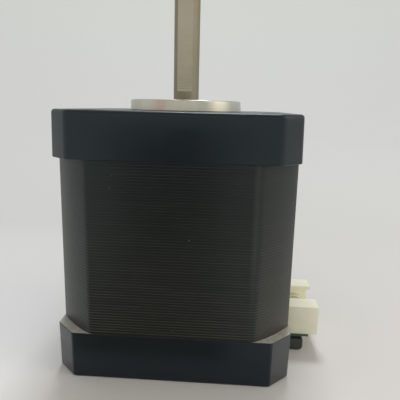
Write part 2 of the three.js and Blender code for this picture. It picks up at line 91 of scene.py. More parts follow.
SOCKET_BACK = 19.7
SOCKET_OUTSIDE = 21.25
SOCKET_MOUTH = 27.9
SHELF_REACH = 25.2
SHELF_HIGH = 2.4
PINS = 6
PIN_PITCH = 2
PIN_HEIGHT = 6.5

# ---- Mesh building ----


def loft(rings, closed=False):
    """Joins rings of (x, y, z) points into a skin, capped at both ends or closed."""
    bm = bmesh.new()
    rows = [[bm.verts.new(point) for point in ring] for ring in rings]
    following = rows[1:] + rows[:1] if closed else rows[1:]
    for low, high in zip(rows, following):
        for i in range(len(low)):
            j = (i + 1) % len(low)
            bm.faces.new((low[i], low[j], high[j], high[i]))
    if not closed:
        bm.faces.new(list(reversed(rows[0])))
        bm.faces.new(rows[-1])
    return bm


def circle(radius, height, sides=96, x=0.0, y=0.0):
    turn = 2 * math.pi / sides
    return [
        (x + radius * math.cos(turn * i), y + radius * math.sin(turn * i), height)
        for i in range(sides)
    ]


def turned(profile, sides=96, closed=False, x=0.0, y=0.0):
    """A profile of (radius, height) points turned about an upright axis."""
    return loft([circle(r, z, sides, x, y) for r, z in profile], closed)


def cylinder(radius, low, high, sides=80, x=0.0, y=0.0):
    return turned([(radius, low), (radius, high)], sides, x=x, y=y)


def cut_square(half, chamfer, radius, height):
    """A ring of points round a square with cut corners and all eight edges rounded."""
    steps = 6
    corners = []
    for quarter in range(4):
        turn = Matrix.Rotation(quarter * math.pi / 2, 2)
        corners += [turn @ Vector((half, side * (half - chamfer))) for side in (-1, 1)]
    points = []
    for i, corner in enumerate(corners):
        inward = (corners[i - 1] - corner).normalized()
        inward += (corners[(i + 1) % 8] - corner).normalized()
        centre = corner + inward.normalized() * radius / math.cos(math.pi / 8)
        start = i // 2 * math.pi / 2 + (i % 2) * math.pi / 4 - math.pi / 4
        for k in range(steps + 1):
            angle = start + k / steps * math.pi / 4
            points.append(
                (
                    centre.x + radius * math.cos(angle),
                    centre.y + radius * math.sin(angle),
                    height,
                )
            )
    return points


def inset_square(half, chamfer, radius, inset, height):
    """cut_square with every side moved in by the same amount."""
    return cut_square(
        half - inset,
        chamfer - inset * (2 - math.sqrt(2)),
        max(radius - inset, 0.05),
        height,
    )


def core_ring(inset, height):
    """A ring of points round a lamination: a square whose corners are cut to an arc."""
    half, radius = CORE_HALF - inset, CORE_ARC - inset
    half_chord = CORE_CHAMFER / math.sqrt(2)
    middle = CORE_HALF - CORE_CHAMFER / 2
    centre = middle - math.sqrt((CORE_ARC**2 - half_chord**2) / 2)
    start = math.acos((half - centre) / radius)
    ease = math.radians(1)
    reach = radius * ease

    def on_arc(angle):
        across, up = math.cos(angle), math.sin(angle)
        return Vector((centre + radius * across, centre + radius * up))

    corner, first = on_arc(start), on_arc(start + ease)
    before = corner - Vector((0, reach))
    soft = [
        before * (1 - t) ** 2 + corner * 2 * t * (1 - t) + first * t * t
        for t in (0, 0.25, 0.5, 0.75)
    ]
    span = math.pi / 2 - 2 * (start + ease)
    quarter = soft + [on_arc(start + ease + k / 10 * span) for k in range(11)]
    quarter += [Vector((point.y, point.x)) for point in reversed(soft)]
    return [
        (*(Matrix.Rotation(turn * math.pi / 2, 2) @ point), height)
        for turn in range(4)
        for point in quarter
    ]


def box(x, y, z):
    flat = [(x[0], y[0]), (x[1], y[0]), (x[1], y[1]), (x[0], y[1])]
    return loft([[(*corner, height) for corner in flat] for height in z])


def add(name, data):
    """A new object in the scene that shows a mesh, a camera or a light."""
    made = bpy.data.objects.new(name, data)
    bpy.context.collection.objects.link(made)
    return made


def add_mesh(name, bm):
    mesh = bpy.data.meshes.new(name)
    bm.to_mesh(mesh)
    bm.free()
    return add(name, mesh)


def as_object(bm):
    """A closed skin as an object, with its faces turned outward."""
    bmesh.ops.recalc_face_normals(bm, faces=bm.faces)
    return add_mesh("tool", bm)


def bake(made):
    """Applies an object's modifiers to its mesh."""
    bpy.context.view_layer.update()
    depsgraph = bpy.context.evaluated_depsgraph_get()
    mesh = bpy.data.meshes.new_from_object(made.evaluated_get(depsgraph))
    made.modifiers.clear()
    made.data = mesh


def combine(made, operation, tools):
    """Adds each tool's shape to an object's, or takes it away."""
    for bm in tools:
        tool = as_object(bm)
        step = made.modifiers.new("combine", "BOOLEAN")
        step.operation = operation
        step.solver = "EXACT"
        step.object = tool
        bake(made)
        bpy.data.objects.remove(tool)


def bevel(made, width, segments=2, angle=30):
    step = made.modifiers.new("bevel", "BEVEL")
    step.width = width
    step.segments = segments
    step.limit_method = "ANGLE"
    step.angle_limit = math.radians(angle)
    bake(made)


def dissolve(made):
    """Merges the flat faces that a boolean splits."""
    bm = bmesh.new()
    bm.from_mesh(made.data)
    bmesh.ops.remove_doubles(bm, verts=bm.verts, dist=0.001)
    bmesh.ops.dissolve_limit(
        bm, angle_limit=math.radians(0.5), verts=bm.verts, edges=bm.edges
    )
    bm.to_mesh(made.data)
    bm.free()


def finish(made, name, materials, body, replaced, sharp=28, choose=None):
    """Names a piece, scales it to metres, shades it and puts it on its body.

    Edges turn sharp from `sharp` degrees up, and `choose` picks each face's material.
    """
    made.data.materials.clear()
    for material in materials:
        made.data.materials.append(material)
    bm = bmesh.new()
    bm.from_mesh(made.data)
    for face in bm.faces:
        face.smooth = True
        face.material_index = choose(face) if choose else 0
    for edge in bm.edges:
        edge.smooth = edge.is_manifold and edge.calc_face_angle(0) < math.radians(sharp)
    bmesh.ops.scale(bm, vec=(MM, MM, MM), verts=bm.verts)
    bm.to_mesh(made.data)
    bm.free()
    made.name = made.data.name = name
    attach(made, body)
    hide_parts(*replaced)
    return made


# ---- Materials ----

# Where painted sheen, painted highlights and the bare ledge start and end, in metres from
# the planes x = 0 and y = 0.
SHEEN_CORNER = (0.0142, 0.0152)  # the core's front corner on the connector's side, lightened as painted sheen
BARE_LEDGE = (0.0136, 0.0144)
HIGHLIGHT_EDGE = 0.0138  # the middle of the painted highlight along the core's upright edges
HIGHLIGHT_EDGE_WIDTH = 0.0008

class Surface:
    """A Principled material whose nodes are added one call at a time."""

    def __init__(self, name, **values):
        self.material = bpy.data.materials.new(name)
        self.material.use_nodes = True
        self.tree = self.material.node_tree
        self.shader = self.tree.nodes["Principled BSDF"]
        for socket, value in values.items():
            self.shader.inputs[socket.replace("_", " ")].default_value = value
        self.place = self.node("ShaderNodeTexCoord").outputs["Object"]
        self.normal = None

    def node(self, kind, **settings):
        made = self.tree.nodes.new(kind)
        for key, value in settings.items():
            setattr(made, key, value)
        return made

    def link(self, output, socket):
        if isinstance(output, (int, float, tuple)):
            socket.default_value = output
        else:
            self.tree.links.new(output, socket)

    def math(self, operation, *values):
        made = self.node("ShaderNodeMath", operation=operation)
        for value, socket in zip(values, made.inputs):
            self.link(value, socket)
        return made.outputs[0]

    def times(self, first, second):
        return self.math("MULTIPLY", first, second)

    def blend(self, first, second):
        """The mean of two outputs."""
        return self.times(self.math("ADD", first, second), 0.5)

    def nearest(self, x, y):
        """The smaller of the distances from the planes x = 0 and y = 0."""
        return self.math("MINIMUM", self.math("ABSOLUTE", x), self.math("ABSOLUTE", y))

    def wave(self, kind, along, pitch):
        """A SINE or COSINE that repeats every `pitch` millimetres."""
        return self.math(kind, self.times(along, 2 * math.pi / (pitch * MM)))

    def spread(self, value, low, high, to_low=0.0, to_high=1.0):
        """Maps low..high on to to_low..to_high, and holds it there beyond."""
        made = self.node("ShaderNodeMapRange")
        for socket, number in zip(
            ("Value", "From Min", "From Max", "To Min", "To Max"),
            (value, low, high, to_low, to_high),
        ):
            self.link(number, made.inputs[socket])
        return made.outputs[0]

    def stretched(self, x, y, z):
        """Object coordinates with each axis scaled."""
        made = self.node("ShaderNodeMapping")
        self.link(self.place, made.inputs["Vector"])
        made.inputs["Scale"].default_value = (x, y, z)
        return made.outputs[0]

    def noise(self, size, detail=3.0, roughness=0.5, place=None):
        """Noise whose features are about `size` millimetres across."""
        made = self.node("ShaderNodeTexNoise")
        self.link(place or self.place, made.inputs["Vector"])
        made.inputs["Scale"].default_value = 1 / (size * MM)
        made.inputs["Detail"].default_value = detail
        made.inputs["Roughness"].default_value = roughness
        return made.outputs["Fac"]

    def specks(self, size, spacing, share):
        """1 in scattered round specks and 0 elsewhere."""
        made = self.node("ShaderNodeTexVoronoi")
        self.link(self.place, made.inputs["Vector"])
        made.inputs["Scale"].default_value = 1 / (spacing * MM)
        near = self.spread(made.outputs["Distance"], size / spacing, 0.0)
        chosen = self.node("ShaderNodeSeparateColor")
        self.link(made.outputs["Color"], chosen.inputs[0])
        few = self.math("LESS_THAN", chosen.outputs[0], share)
        return self.times(near, few)

    def split(self):
        """The object's x, y and z outputs, in metres."""
        made = self.node("ShaderNodeSeparateXYZ")
        self.link(self.place, made.inputs[0])
        return made.outputs[0], made.outputs[1], made.outputs[2]

    def radius(self):
        x, y, _ = self.split()
        return self.math("SQRT", self.math("ADD", self.times(x, x), self.times(y, y)))

    def mix(self, factor, first, second):
        made = self.node("ShaderNodeMix", data_type="RGBA")
        self.link(factor, made.inputs["Factor"])
        for value, socket in ((first, made.inputs[6]), (second, made.inputs[7])):
            self.link((*value, 1.0) if isinstance(value, tuple) else value, socket)
        return made.outputs[2]

    def colour(self, output):
        self.link(output, self.shader.inputs["Base Color"])

    def roughness(self, noise, low, high):
        """Roughness that follows a noise, most of which lies between 0.3 and 0.7."""
        level = self.spread(noise, 0.3, 0.7, low, high)
        self.link(level, self.shader.inputs["Roughness"])

    def bump(self, height, depth):
        """Raises the surface by up to `depth` millimetres. Calls stack."""
        made = self.node("ShaderNodeBump")
        made.inputs["Strength"].default_value = 1
        made.inputs["Distance"].default_value = depth * MM
        self.link(height, made.inputs["Height"])
        if self.normal:
            self.link(self.normal, made.inputs["Normal"])
        self.normal = made.outputs[0]
        self.link(self.normal, self.shader.inputs["Normal"])


def shade(tone, factor):
    return tuple(min(1, factor * part) for part in tone)


def black_paint(name, tone):
    """Semi-matte paint over a casting: mottling, orange peel and a few dust specks."""
    s = Surface(name, Specular_IOR_Level=0.56, Specular_Tint=(0.74, 0.9, 1.0, 1))
    cloud = s.noise(9, 4)
    dust = s.specks(0.09, 1.9, 0.2)
    base = s.mix(cloud, shade(tone, 0.72), shade(tone, 1.25))
    s.colour(s.mix(s.times(dust, 0.35), base, (0.3, 0.29, 0.27)))
    s.roughness(s.noise(5, 5, 0.6), 0.28, 0.36)
    s.bump(s.noise(0.45, 2), 0.006)
    s.bump(s.noise(2.5, 3), 0.02)
    return s.material


def laminations(name):
    """Black paint over stacked sheets, with painted light: lighter and warmer low down,
    lighter lines low down, a sheen on the front corner on the connector's side and a
    highlight along the upright edges on that side.
    """
    s = Surface(name, Specular_IOR_Level=0.4, Specular_Tint=(0.84, 0.98, 0.97, 1))
    sheet = s.noise(0.6, 1, place=s.stretched(0.02, 0.02, 1))
    streak = s.noise(3.5, 4, 0.65, place=s.stretched(0.3, 0.3, 3))
    cloud = s.noise(11, 3)
    x, y, z = s.split()
    # low rises towards the bottom of the core, where the tone turns lighter and warmer:
    # painted light from the floor.
    low = s.spread(z, 0.034, 0.009)
    tone = s.mix(
        s.spread(sheet, 0.3, 0.7), (0.007, 0.0098, 0.0092), (0.009, 0.0122, 0.0112)
    )
    tone = s.mix(s.times(low, 0.5), tone, (0.0135, 0.0125, 0.0105))

    # Painted sheen: the front chamfer on the connector's side turns lighter, more so low
    # down.
    corner = s.spread(s.math("MINIMUM", x, s.times(y, -1.0)), *SHEEN_CORNER)
    painted_light = s.times(corner, s.spread(z, 0.036, 0.012, 0.15, 0.7))
    tone = s.mix(painted_light, tone, (0.042, 0.041, 0.037))

    # Painted sheen: the lines between sheets turn lighter in streaks, low down only.
    line = s.spread(s.wave("COSINE", z, SHEET), 0.2, 1.0)
    painted_sheen = s.times(line, s.spread(streak, 0.3, 0.65, 0.35, 1.0))
    painted_sheen = s.times(painted_sheen, s.times(low, 0.8))
    tone = s.mix(painted_sheen, tone, (0.085, 0.078, 0.066))

    # Painted highlight: a lighter line along the upright edges on the +X side, stronger
    # towards the top.
    off_edge = s.math("ABSOLUTE", s.math("SUBTRACT", s.nearest(x, y), HIGHLIGHT_EDGE))
    upright = s.times(s.spread(off_edge, HIGHLIGHT_EDGE_WIDTH, 0.0), s.spread(x, 0.0, 0.002))
    upright = s.times(upright, s.spread(z, 0.012, 0.022, 0.25, 0.75))
    tone = s.mix(upright, tone, (0.04, 0.046, 0.04))

    dust = s.times(s.specks(0.16, 2.6, 0.25), 0.5)
    s.colour(s.mix(dust, tone, (0.32, 0.3, 0.27)))
    s.roughness(cloud, 0.28, 0.34)
    s.bump(sheet, 0.005)
    s.bump(s.noise(0.5, 3), 0.01)
    return s.material


def turned_metal(name, tone, rough, pitch, depth, by_height=False):
    """Bare metal with a lathe's fine rings and faint pink and blue bands, a painted
    reflection.
    """
    s = Surface(name, Metallic=1.0)
    along = s.split()[2] if by_height else s.radius()
    rings = s.wave("SINE", along, pitch)
    spiral = s.node("ShaderNodeCombineXYZ")
    s.link(along, spiral.inputs[0])
    grain = s.noise(0.16, 3, 0.7, place=spiral.outputs[0])
    body = s.mix(s.blend(grain, s.noise(5, 4)), shade(tone, 0.8), tone)
    red, green, blue = tone
    pink = (0.94 * red, 0.82 * green, 0.8 * blue)
    bluish = (0.88 * red, 0.97 * green, 1.04 * blue)
    # Painted reflection: faint pink and blue bands in the colour.
    band = s.noise(5, 3, 0.6, place=s.stretched(1, 1, 0.05))
    body = s.mix(s.spread(band, 0.48, 0.36), body, pink)
    s.colour(s.mix(s.spread(band, 0.52, 0.64), body, bluish))
    s.roughness(grain, rough * 0.8, rough * 1.25)
    s.bump(rings, depth * 0.35)
    s.bump(grain, depth)
    return s.material


def milled_metal(name, tone, rough):
    """Bare metal with the close straight marks of a milling cutter across it."""
    s = Surface(name, Metallic=1.0)
    marks = s.wave("SINE", s.split()[2], 0.42)
    grain = s.noise(0.25, 3, 0.6, place=s.stretched(0.1, 0.1, 1))
    s.colour(s.mix(s.blend(grain, s.noise(4, 3)), shade(tone, 0.72), tone))
    s.roughness(grain, rough * 0.8, rough * 1.3)
    s.bump(marks, 0.007)
    s.bump(grain, 0.018)
    return s.material


def cast_metal(name, tone, rough, grain=0.5, depth=0.01):
    """Bare or plated metal with a fine all-over grain."""
    s = Surface(name, Metallic=1.0)
    fine = s.noise(grain, 4, 0.6)
    s.colour(s.mix(s.noise(4, 3), shade(tone, 0.75), tone))
    s.roughness(fine, rough * 0.8, rough * 1.2)
    s.bump(fine, depth)
    return s.material


def ledge(name):
    """Milled aluminium where the core's cut corners bare it, painted along the sides."""
    s = Surface(name, Metallic=0.3)
    x, y, _ = s.split()
    bare = s.spread(s.nearest(x, y), *BARE_LEDGE)
    fine = s.noise(0.3, 4, 0.6)
    metal = s.mix(s.noise(1.2, 4, 0.7), (0.34, 0.34, 0.29), (0.82, 0.8, 0.72))
    s.colour(s.mix(bare, (0.005, 0.007, 0.009), metal))
    s.roughness(fine, 0.4, 0.6)
    s.bump(fine, 0.012)
    return s.material


def moulded(name, tone, rough, glow=0.0):
    """Moulded nylon: faint clouding, a spark-eroded skin and light that sinks in."""
    s = Surface(name, Subsurface_Weight=glow, Subsurface_Scale=0.0012)
    s.shader.inputs["Subsurface Radius"].default_value = (1.0, 0.8, 0.4)
    skin = s.noise(0.22, 3, 0.6)
    s.colour(s.mix(s.noise(3, 3), shade(tone, 0.9), shade(tone, 1.04)))
    s.roughness(skin, rough * 0.85, rough * 1.15)
    s.bump(skin, 0.006)
    s.bump(s.noise(1.8, 2), 0.012)
    return s.material


def board(name):
    """Solder mask over woven glass cloth."""
    s = Surface(name)
    weave = s.node("ShaderNodeTexChecker")
    s.link(s.place, weave.inputs["Vector"])
    weave.inputs["Scale"].default_value = 1 / (0.4 * MM)
    cloud = s.noise(2, 3)
    s.colour(s.mix(cloud, (0.03, 0.085, 0.02), (0.07, 0.15, 0.035)))
    s.roughness(cloud, 0.28, 0.42)
    s.bump(weave.outputs["Fac"], 0.006)
    return s.material


def wound_copper(name):
    """Enamelled wire laid in close turns."""
    s = Surface(name, Metallic=1.0, Coat_Weight=0.6, Coat_Roughness=0.15)
    wires = s.noise(0.28, 1, place=s.stretched(1, 1, 0.02))
    s.colour(s.mix(s.noise(3, 3), (0.35, 0.12, 0.045), (0.62, 0.26, 0.1)))
    s.roughness(wires, 0.2, 0.4)
    s.bump(wires, 0.06)
    return s.material


PAINT = black_paint("blue_black_paint", (0.0045, 0.0075, 0.0105))
CORE = laminations("black_laminations")
BARE = turned_metal("bare_aluminium", (0.7, 0.685, 0.59), 0.34, 0.09, 0.003)
LEDGE = ledge("milled_ledge")
# Lighter black paint: painted light on the rear bell's cut corners and on the shelf.
SHEEN_PAINT = black_paint("lighter_paint_for_sheen", (0.05, 0.051, 0.052))
STEEL = turned_metal("ground_shaft_steel", (0.37, 0.35, 0.27), 0.58, 0.05, 0.002, True)
FLAT = milled_metal("milled_shaft_flat", (0.58, 0.545, 0.42), 0.38)
ZINC = cast_metal("zinc_plate", (0.6, 0.6, 0.58), 0.3, 0.25, 0.004)
IVORY = moulded("ivory_nylon", (0.98, 0.97, 0.78), 0.42, 0.3)
FORMER = moulded("white_nylon", (0.78, 0.76, 0.7), 0.5, 0.2)
BLACK_PAD = moulded("black_pad", (0.012, 0.015, 0.018), 0.55)
CAGE = moulded("brown_nylon", (0.2, 0.12, 0.06), 0.5)
GREEN_BOARD = board("green_board")
TIN = cast_metal("tin_plate", (0.8, 0.77, 0.6), 0.25, 0.3, 0.003)
RACE = turned_metal("bearing_steel", (0.6, 0.61, 0.62), 0.2, 0.06, 0.002)
SPRING = cast_metal("spring_steel", (0.5, 0.49, 0.47), 0.3)
BALL = cast_metal("ball_steel", (0.75, 0.76, 0.77), 0.08, 0.4, 0.0005)
ROTOR = laminations("rotor_steel")
MAGNET = cast_metal("sintered_magnet", (0.3, 0.3, 0.31), 0.45, 0.25, 0.015)
COPPER = wound_copper("copper_wire")

# ---- Bells ----


def at_screws(make):
    return [make(x, y) for x in (-BOLT, BOLT) for y in (-BOLT, BOLT)]


def bars(radius, low, high, sides=40):
    """Upright cylinders at the four screws."""
    return at_screws(lambda x, y: cylinder(radius, low, high, sides, x, y))


def bell_rings(wide, narrow, edge, lip):
    """The rings of a bell's outside, from its wide end at the core to its outer face."""
    way = 1 if narrow > wide else -1
    length = abs(narrow - wide)
    levels = [(0.08, 0.0), (0.0, 0.08)]
    levels += [(BELL_DRAFT * h, h) for h in (0.25 * length, 0.6 * length)]
    for k in range(7):
        angle = k / 6 * math.pi / 2
        height = length - lip + lip * math.sin(angle)
        levels.append((BELL_DRAFT * length + lip * (1 - math.cos(angle)), height))
    return [
        inset_square(BODY_HALF, BELL_CHAMFER, edge, inset, wide + way * height)
        for inset, height in levels
    ]


def hollow(low, high):
    inner = BODY_HALF - BELL_WALL
    return loft([cut_square(inner, BELL_CHAMFER, 0.6, z) for z in (low, high)])


def threaded_hole(x, y, low, high):
    """A tool that cuts a coarse ringed thread with a small countersink at its top."""
    pitch, crest, root, plain = 0.5, 1.46, 1.62, 1.6  # the last three are radii
    profile = [(plain, low)]
    turns = int((high - low) / pitch)
    for k in range(turns):
        z = low + k * pitch
        profile += [(crest, z + 0.06), (crest, z + 0.2)]
        profile += [(root, z + 0.36), (root, z + 0.44)]
    profile += [(plain, high - 0.22), (1.95, high + 0.13)]
    return turned(profile, 40, x=x, y=y)


def front_bell():
    made = as_object(loft(bell_rings(CORE_HIGH, FACE, FRONT_EDGE, FRONT_LIP)))
    combine(made, "DIFFERENCE", [hollow(CORE_HIGH - 1, FRONT_INSIDE)])
    buried = FRONT_INSIDE + 0.4  # inside the face, so that the pieces join
    hub = cylinder(HUB_RADIUS, 41.9, buried)
    combine(made, "UNION", [hub, *bars(POST_RADIUS, CORE_HIGH, buried)])
    seat = cylinder(SEAT_RADIUS, CORE_HIGH - 1, FACE + 1)
    holes = bars(SCREW_HOLE, CORE_HIGH - 1, buried)
    threads = at_screws(lambda x, y: threaded_hole(x, y, FRONT_INSIDE + 0.2, FACE))
    combine(made, "DIFFERENCE", [seat, *holes, *threads])
    finish(made, "front_bell_cast", [PAINT], "stator", ["front_bell"])


def pilot_boss():
    edge, taper = 0.28, 0.08
    root = 47.3  # the underside of the lip round the boss's hole
    profile = [(BOSS_HOLE, root), (SEAT_RADIUS, root), (SEAT_RADIUS, FACE)]
    profile += [(BOSS_RADIUS - 0.15, FACE), (BOSS_RADIUS, FACE + 0.08)]
    for k in range(6):
        angle = k / 5 * math.pi / 2
        profile.append(
            (
                BOSS_RADIUS - taper - edge * (1 - math.cos(angle)),
                BOSS_TOP - edge + edge * math.sin(angle),
            )
        )
    profile += [(BOSS_HOLE + 0.4, BOSS_TOP), (BOSS_HOLE, BOSS_TOP - 0.4)]
    made = as_object(turned(profile, 192, closed=True))
    finish(made, "pilot_boss", [BARE], "stator", ["front_bell"])


def shelf():
    """The cast shelf under the connector, as a tool to add to the rear bell."""
    half = SOCKET_HALF + 0.2
    low, rounding = 0.05, 0.9
    inner = 18.5  # inside the bell, so that the two join
    profile = [(inner, low)]
    for k in range(7):
        angle = -math.pi / 2 + k / 6 * math.pi / 2
        x = SHELF_REACH - rounding + rounding * math.cos(angle)
        profile.append((x, low + rounding + rounding * math.sin(angle)))
    profile += [(SHELF_REACH, SHELF_HIGH - 0.15), (SHELF_REACH - 0.15, SHELF_HIGH)]
    profile += [(inner, SHELF_HIGH)]
    ends = []
    for y, shrink in ((-half, 0.18), (-half + 0.18, 0), (half - 0.18, 0), (half, 0.18)):
        middle = (low + SHELF_HIGH) / 2
        ends.append(
            [
                (
                    min(x, SHELF_REACH - shrink),
                    SOCKET_MIDDLE + y,
                    middle + (z - middle) * (1 - shrink / (middle - low)),
                )
                for x, z in profile
            ]
        )
    return loft(ends)


def rear_bell():
    made = as_object(loft(bell_rings(CORE_LOW, 0, REAR_EDGE, REAR_LIP)))
    above = CORE_LOW + 1
    combine(made, "DIFFERENCE", [hollow(REAR_INSIDE, above)])
    buried = REAR_INSIDE - 0.7  # inside the face, so that the pieces join
    hub = cylinder(HUB_RADIUS, buried, 8)
    combine(made, "UNION", [hub, *bars(POST_RADIUS, buried, CORE_LOW), shelf()])
    seat = cylinder(SEAT_RADIUS, REAR_INSIDE, above)
    window = box((18.3, SHELF_REACH + 1), across_socket(0.15), (SHELF_HIGH, above))
    holes = bars(SCREW_HOLE, -1, above)
    pocket = [(3.25, -0.1), (3.0, 0.2), (3.0, 2.6)]  # takes a screw's head
    pockets = at_screws(lambda x, y: turned(pocket, 56, x=x, y=y))
    combine(made, "DIFFERENCE", [seat, window, *holes, *pockets])

    def coat(face):
        """Bare on the ledge, painted elsewhere, with lighter paint on the shelf and cut
        corners as painted light.
        """
        painted, bare, painted_sheen = range(3)
        middle = face.calc_center_median()
        if face.normal.z > 0.6 and middle.z > CORE_LOW - 0.02:
            return bare
        # The shelf and the cut corners take the lighter paint as painted light.
        if middle.x > BODY_HALF + 0.15:
            return painted_sheen
        diagonal = abs(abs(face.normal.x) - abs(face.normal.y)) < 0.1
        outside = middle.xy.length > 25
        return painted_sheen if diagonal and outside and abs(face.normal.z) < 0.3 else painted

    coats = [PAINT, LEDGE, SHEEN_PAINT]
    replaced = ["rear_bell"]
    finish(made, "rear_bell_cast", coats, "stator", replaced, choose=coat)


# ---- Stator core ----


def bore_ring(height):
    """The core's bore: eight poles whose faces carry teeth."""
    tip, valley, shoe, slot = 12.9, 13.6, 14.5, 17.6  # radii
    half_neck = 2
    pitch = 2 * math.pi / 50
    edge = 2.75 * pitch
    neck, root = math.asin(half_neck / shoe), math.asin(half_neck / slot)
    points = []
    for pole in range(8):
        middle = pole * math.pi / 4
        spots = [(slot, -root), (shoe, -neck), (shoe, -edge)]
        for tooth in range(6):
            centre = (tooth - 2.5) * pitch
            left, right = centre - pitch / 4, centre + pitch / 4
            spots += [(valley, left)] if tooth else []
            spots += [(tip, left), (tip, right)]
            spots += [(valley, right)] if tooth < 5 else []
        spots += [(shoe, edge), (shoe, neck), (slot, root), (slot, math.pi / 8)]
        points += [
            (r * math.cos(middle + a), r * math.sin(middle + a), height) for r, a in spots
        ]
    return points


def stator_core():
    """Stacked sheets, each a hair in or out of line, with a fine groove between."""
    chance = random.Random(42)
    sheets = round((CORE_HIGH - CORE_LOW) / SHEET)
    rings = [core_ring(SHEET_GAP, CORE_LOW)]
    for sheet in range(sheets):
        low = CORE_LOW + sheet * SHEET
        out = chance.uniform(0.0, 0.008)
        for inset, height in (
            (out + 0.005, low + 0.06),
            (out, low + 0.12),
            (out, low + SHEET - 0.12),
            (out + 0.005, low + SHEET - 0.06),
            (SHEET_GAP, low + SHEET),
        ):
            rings.append(core_ring(inset, height))
    made = as_object(loft(rings))
    bore = loft([bore_ring(z) for z in (CORE_LOW - 1, CORE_HIGH + 1)])
    holes = bars(SCREW_HOLE, CORE_LOW - 1.5, CORE_HIGH + 2, 32)
    combine(made, "DIFFERENCE", [bore, *holes])
    replaced = ["stator_core"]
    finish(made, "lamination_stack", [CORE], "stator", replaced, sharp=60)


# ---- Screws ----


def screws():
    """Long pan-head screws with a cross recess and a ringed end in the front bell."""
    head = [(1.6, 0.45), (2.1, 0.55), (2.45, 0.75), (2.62, 1.0), (2.7, 1.3), (2.7, 2.45)]
    shank = 1.45
    profile = head + [(2.65, 2.5), (shank, 2.5)]
    for k in range(16):
        z = 34 + 0.5 * k
        profile += [(shank, z), (shank, z + 0.1), (shank - 0.15, z + 0.25)]
    profile += [(shank, 42.05), (1.1, 42.4)]
    names = {(1, 1): 1, (-1, 1): 2, (-1, -1): 3, (1, -1): 4}
    for (x, y), number in names.items():
        made = as_object(turned(profile, 48))
        arm, slot = (-1.5, 1.5), (-0.3, 0.3)
        recess = [box(arm, slot, (0, 1.5)), box(slot, arm, (0, 1.5))]
        combine(made, "DIFFERENCE", recess)
        made.data.transform(Matrix.Translation((x * BOLT, y * BOLT, 0)))
        name = f"screw_{number}"
        finish(made, f"pan_head_{name}", [ZINC], "stator", [name])


# ---- Shaft ----


def shaft():
    tip = 0.4
    low, high = SHAFT_LOW, SHAFT_TOP
    profile = [(SHAFT_RADIUS - tip, low), (SHAFT_RADIUS, low + tip)]
    # The rings between the ends keep the faces short.
    profile += [(SHAFT_RADIUS, z) for z in (20, 40, 50, 60, high - tip - 0.06)]
    profile += [(SHAFT_RADIUS - 0.03, high - tip), (SHAFT_RADIUS - tip, high - 0.04)]
    profile += [(SHAFT_RADIUS - tip - 0.06, high)]
    made = as_object(turned(profile, 160))
    side = [(-5, FLAT_LOW - RUN_OUT), (-FLAT_DISTANCE - RUN_OUT, FLAT_LOW - RUN_OUT)]
    side += [(-FLAT_DISTANCE, FLAT_LOW), (-FLAT_DISTANCE, high + 1), (-5, high + 1)]
    cut = loft([[(x, y, z) for y, z in side] for x in (-5, 5)])
    combine(made, "DIFFERENCE", [cut])
    made.data.transform(Matrix.Rotation(FLAT_TURN, 4, "Z"))
    facing = Matrix.Rotation(FLAT_TURN, 3, "Z") @ Vector((0, -1, 0))

    def ground(face):
        """Milled on the flat, turned elsewhere, with lighter metal on the slope under the
        flat as a painted highlight.
        """
        plain, milled, painted_highlight = range(3)
        middle = face.calc_center_median()
        if face.normal.dot(facing) > 0.999 and middle.z > FLAT_LOW:
            return milled
        # The slope under the flat takes the lighter tin-plate metal as a painted
        # highlight.
        painted_light = face.normal.z > 0.3 and abs(middle.z - FLAT_LOW) < 0.4
        return painted_highlight if painted_light else plain

    looks = [STEEL, FLAT, TIN]
    finish(made, "d_cut_shaft", looks, "rotor", ["shaft"], choose=ground)


# ---- Bearings ----


def bearing_faces(prefix, low):
    """A bearing's rings and shields, with eased edges and a step in each shield."""
    high = low + BEARING_WIDTH
    middle = low + BEARING_WIDTH / 2

    def grooved(land, back, side):
        """A ring's profile: its land faces the balls and carries their groove."""
        steps, ease = 10, 0.25
        reach = math.acos(abs(land - BALL_CIRCLE) / GROOVE)
        arc = []
        for k in range(steps + 1):
            angle = -reach + 2 * reach * k / steps
            across = BALL_CIRCLE + side * GROOVE * math.cos(angle)
            arc.append((across, middle + GROOVE * math.sin(angle)))
        eased = back - ease * side
        face = [(eased, low), (land, low), *arc, (land, high), (eased, high)]
        return face + [(back, high - ease), (back, low + ease)]

    for part, land, back, side in (("inner", 4.2, 2.57, -1), ("outer", 6.3, 8.0, 1)):
        made = as_object(turned(grooved(land, back, side), 96, closed=True))
        name = f"{prefix}_{part}_ring"
        body = "rotor" if part == "inner" else "stator"
        finish(made, f"{name}_ground", [RACE], body, [name])
    for part, base, way in (("upper", low + 4.9, -1), ("lower", low + 0.1, 1)):
        profile = [(4.35, 0), (4.6, 0), (4.8, 0.12), (5.9, 0.12), (6.05, 0), (6.2, 0)]
        back = [(6.2, 0.25), (5.98, 0.3), (4.72, 0.3), (4.5, 0.25), (4.35, 0.2)]
        points = [(r, base + way * z) for r, z in profile + back]
        made = as_object(turned(points, 96, closed=True))
        name = f"{prefix}_{part}_shield"
        finish(made, f"{name}_pressed", [RACE], "stator", [name])


# ---- Connector ----


def across_socket(margin):
    half = SOCKET_HALF + margin
    return (SOCKET_MIDDLE - half, SOCKET_MIDDLE + half)


def pin_place(index):
    return SOCKET_MIDDLE + (index - (PINS - 1) / 2) * PIN_PITCH


